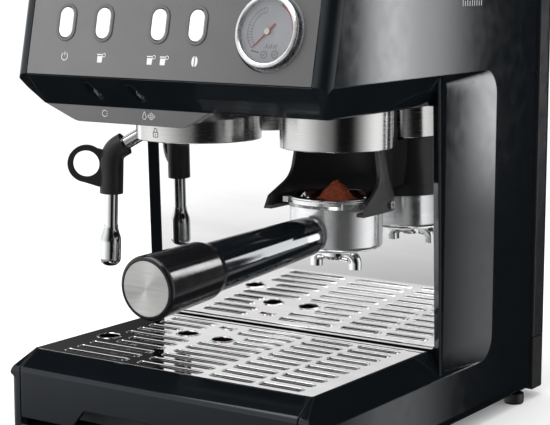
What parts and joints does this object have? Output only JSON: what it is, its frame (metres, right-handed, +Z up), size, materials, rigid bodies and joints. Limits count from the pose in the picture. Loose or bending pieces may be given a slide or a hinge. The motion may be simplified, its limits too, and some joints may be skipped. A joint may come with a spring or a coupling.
{
  "type": "espresso machine",
  "caption": "Compact pump espresso machine with built-in conical-burr grinder, portafilter on its cradle, steam wand, pressure gauge, removable drip tray and rear water tank.",
  "frame": {"origin": "bottom centre of the whole machine's bounding box, on the surface it stands on", "axes": "+X to the right of a user facing the control panel, +Y to the back, +Z up"},
  "size_m": [0.3258, 0.4866, 0.41],
  "materials": {
    "gloss_black": "high gloss moulded",
    "tank_black": "gloss smoked",
    "matte_black": "fine moulded texture",
    "panel_graphite": "satin brushed graphite",
    "mirror_steel": "polished",
    "brushed_steel": "brushed",
    "chrome": "bright",
    "cast_aluminium": "cast",
    "burr_steel": "ground",
    "rubber_black": "matt",
    "silicone": "matt",
    "button_white": "backlit",
    "dial_grey": "printed",
    "needle_red": "satin",
    "clear_glass": "clear",
    "smoked_clear": "smoked",
    "float_red": "satin",
    "board_green": "laminate"
  },
  "bodies": {
    "housing": {"side_panel_right": "gloss_black", "side_panel_left": "gloss_black", "base_pan": "matte_black", "rubber_feet": "rubber_black", "rear_cover": "matte_black", "column_frame": "gloss_black", "splash_back": "mirror_steel", "head_shell": "gloss_black", "group_visor": "panel_graphite", "indicator_lenses": "clear_glass", "control_panel": "panel_graphite", "button_bezels": "chrome", "control_board": "board_green", "gauge_housing": "dial_grey", "gauge_bezel": "chrome", "gauge_lens": "clear_glass", "top_cover": "matte_black", "cup_tray": "brushed_steel", "group_collar": "brushed_steel", "group_head": "cast_aluminium", "group_gasket": "silicone", "shower_screen": "mirror_steel", "thermoblock": "cast_aluminium", "steam_valve": "cast_aluminium", "vibration_pump": "matte_black", "water_hoses": "silicone", "grinder_collar": "brushed_steel", "portafilter_cradle": "gloss_black", "housing_screws": "burr_steel", "grinder_gearmotor": "cast_aluminium", "burr_chamber": "matte_black", "grinder_chute": "matte_black"},
    "power_button": {"power_button": "button_white"},
    "one_cup_button": {"one_cup_button": "button_white"},
    "two_cup_button": {"two_cup_button": "button_white"},
    "grind_button": {"grind_button": "button_white"},
    "gauge_needle": {"gauge_needle": "needle_red"},
    "steam_dial": {"steam_dial": "matte_black"},
    "wand_swivel": {"wand_cup": "chrome"},
    "steam_wand": {"wand_tube": "chrome", "wand_grip": "rubber_black", "wand_tip": "chrome"},
    "drip_tray": {"drip_tray_tub": "matte_black", "drip_tray_front": "gloss_black"},
    "drip_grate": {"drip_grate": "mirror_steel"},
    "tray_float": {"full_tray_float": "float_red"},
    "water_tank": {"water_tank": "tank_black", "tank_valve": "silicone"},
    "tank_lid": {"tank_lid": "matte_black"},
    "bean_hopper": {"bean_hopper": "smoked_clear"},
    "hopper_lid": {"hopper_lid": "gloss_black"},
    "grind_adjuster": {"grind_adjuster": "matte_black", "upper_burr": "burr_steel"},
    "lower_burr": {"lower_burr": "burr_steel"},
    "portafilter": {"portafilter_body": "chrome", "filter_basket": "mirror_steel", "portafilter_spout": "chrome", "handle_grip": "gloss_black", "handle_sleeve": "gloss_black", "handle_end_cap": "brushed_steel"}
  },
  "joints": [
    {"name": "power_press", "type": "slide", "parent": "housing", "child": "power_button", "axis": [0, 0.9778, -0.2096], "range_m": [0, 0.0015], "stiffness_N_per_m": 300},
    {"name": "one_cup_press", "type": "slide", "parent": "housing", "child": "one_cup_button", "axis": [0, 0.9778, -0.2096], "range_m": [0, 0.0015], "stiffness_N_per_m": 300},
    {"name": "two_cup_press", "type": "slide", "parent": "housing", "child": "two_cup_button", "axis": [0, 0.9778, -0.2096], "range_m": [0, 0.0015], "stiffness_N_per_m": 300},
    {"name": "grind_press", "type": "slide", "parent": "housing", "child": "grind_button", "axis": [0, 0.9778, -0.2096], "range_m": [0, 0.0015], "stiffness_N_per_m": 300},
    {"name": "pressure_needle_swing", "type": "hinge", "parent": "housing", "child": "gauge_needle", "pos_m": [0.10693, -0.11524, 0.32648], "axis": [0, 0.9778, -0.2096], "range_deg": [0, 250], "stiffness_Nm_per_rad": 0.0002},
    {"name": "steam_dial_turn", "type": "hinge", "parent": "housing", "child": "steam_dial", "pos_m": [-0.12507, -0.018, 0.33], "axis": [-1, 0, 0], "range_deg": [-80, 80]},
    {"name": "wand_turn", "type": "hinge", "parent": "housing", "child": "wand_swivel", "pos_m": [-0.09507, 0.014, 0.241], "axis": [0, 0, 1], "range_deg": [-35, 60]},
    {"name": "wand_tilt", "type": "hinge", "parent": "wand_swivel", "child": "steam_wand", "pos_m": [-0.09507, 0.014, 0.241], "axis": [-0.4244, 0.9055, 0], "range_deg": [-6, 15]},
    {"name": "drip_tray_slide", "type": "slide", "parent": "housing", "child": "drip_tray", "axis": [0, -1, 0], "range_m": [0, 0.15]},
    {"name": "drip_grate_lift", "type": "slide", "parent": "drip_tray", "child": "drip_grate", "axis": [0, 0, 1], "range_m": [0, 0.05]},
    {"name": "tray_float_rise", "type": "slide", "parent": "drip_tray", "child": "tray_float", "axis": [0, 0, 1], "range_m": [0, 0.006]},
    {"name": "water_tank_lift", "type": "slide", "parent": "housing", "child": "water_tank", "axis": [0, 0, 1], "range_m": [0, 0.15]},
    {"name": "tank_lid_hinge", "type": "hinge", "parent": "water_tank", "child": "tank_lid", "pos_m": [0.01693, 0.2374, 0.3738], "axis": [-1, 0, 0], "range_deg": [0, 100]},
    {"name": "bean_hopper_lift", "type": "slide", "parent": "housing", "child": "bean_hopper", "axis": [0, 0, 1], "range_m": [0, 0.08]},
    {"name": "hopper_lid_lift", "type": "slide", "parent": "bean_hopper", "child": "hopper_lid", "axis": [0, 0, 1], "range_m": [0, 0.04]},
    {"name": "grind_size_turn", "type": "hinge", "parent": "housing", "child": "grind_adjuster", "pos_m": [0.10093, 0.085, 0.35], "axis": [0, 0, 1], "range_deg": [-30, 30]},
    {"name": "burr_spin", "type": "hinge", "parent": "housing", "child": "lower_burr", "pos_m": [0.10093, 0.085, 0.31], "axis": [0, 0, 1], "continuous": true},
    {"name": "portafilter_slide", "type": "slide", "parent": "housing", "child": "portafilter", "axis": [0, -1, 0], "range_m": [0, 0.15]}
  ]
}
